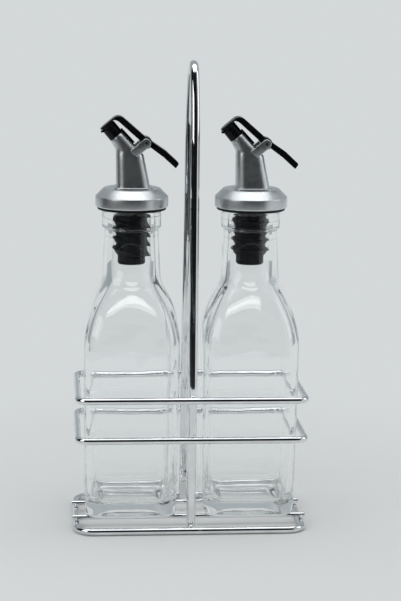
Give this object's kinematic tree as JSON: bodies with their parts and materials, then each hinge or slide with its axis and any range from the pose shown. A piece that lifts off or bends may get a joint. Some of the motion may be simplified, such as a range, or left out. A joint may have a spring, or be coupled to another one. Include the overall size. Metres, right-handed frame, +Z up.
{
  "type": "cruet set",
  "caption": "Wire rack with an arched carrying handle holding two square glass bottles, each closed by a stopper with a flip-top pouring spout.",
  "frame": {"origin": "on the table, in the middle of the base ring", "axes": "+Z up, +X along the row of the two bottles towards the thumb tabs, -Y the front"},
  "size_m": [0.1178, 0.0618, 0.2322],
  "materials": {
    "chrome_wire": "bright chrome plate on round steel wire",
    "clear_glass": "clear moulded soda-lime glass",
    "silver_plastic": "satin silver coat on moulded plastic",
    "black_plastic": "semi-gloss black moulded plastic",
    "black_rubber": "matt black moulded rubber",
    "steel_pin": "dark steel pin end"
  },
  "bodies": {
    "rack": {"base_ring": "chrome_wire", "lower_guard_ring": "chrome_wire", "upper_guard_ring": "chrome_wire", "handle": "chrome_wire", "front_cross_wire": "chrome_wire", "rear_cross_wire": "chrome_wire"},
    "left_bottle": {"left_bottle": "clear_glass"},
    "left_stopper": {"left_stopper": "black_rubber"},
    "left_spout": {"left_spout_shell": "silver_plastic", "left_spout_insert": "black_plastic", "left_hinge_pin": "steel_pin"},
    "left_lever": {"left_lever": "black_plastic", "left_flap_seal": "black_rubber"},
    "right_bottle": {"right_bottle": "clear_glass"},
    "right_stopper": {"right_stopper": "black_rubber"},
    "right_spout": {"right_spout_shell": "silver_plastic", "right_spout_insert": "black_plastic", "right_hinge_pin": "steel_pin"},
    "right_lever": {"right_lever": "black_plastic", "right_flap_seal": "black_rubber"}
  },
  "joints": [
    {"name": "left_bottle_lift", "type": "slide", "parent": "rack", "child": "left_bottle", "axis": [0, 0, 1], "range_m": [0, 0.08]},
    {"name": "left_pourer_pull", "type": "slide", "parent": "left_bottle", "child": "left_stopper", "axis": [0, 0, 1], "range_m": [0, 0.035]},
    {"name": "left_spout_turn", "type": "hinge", "parent": "left_stopper", "child": "left_spout", "pos_m": [-0.0296, 0, 0.1604], "axis": [0, 0, 1], "continuous": true},
    {"name": "left_lever_tip", "type": "hinge", "parent": "left_spout", "child": "left_lever", "pos_m": [-0.02301, 0, 0.19191], "axis": [0, 1, 0], "range_deg": [0, 40]},
    {"name": "right_bottle_lift", "type": "slide", "parent": "rack", "child": "right_bottle", "axis": [0, 0, 1], "range_m": [0, 0.08]},
    {"name": "right_pourer_pull", "type": "slide", "parent": "right_bottle", "child": "right_stopper", "axis": [0, 0, 1], "range_m": [0, 0.035]},
    {"name": "right_spout_turn", "type": "hinge", "parent": "right_stopper", "child": "right_spout", "pos_m": [0.0296, 0, 0.1604], "axis": [0, 0, 1], "continuous": true},
    {"name": "right_lever_tip", "type": "hinge", "parent": "right_spout", "child": "right_lever", "pos_m": [0.03619, 0, 0.19191], "axis": [0, 1, 0], "range_deg": [0, 40]}
  ]
}
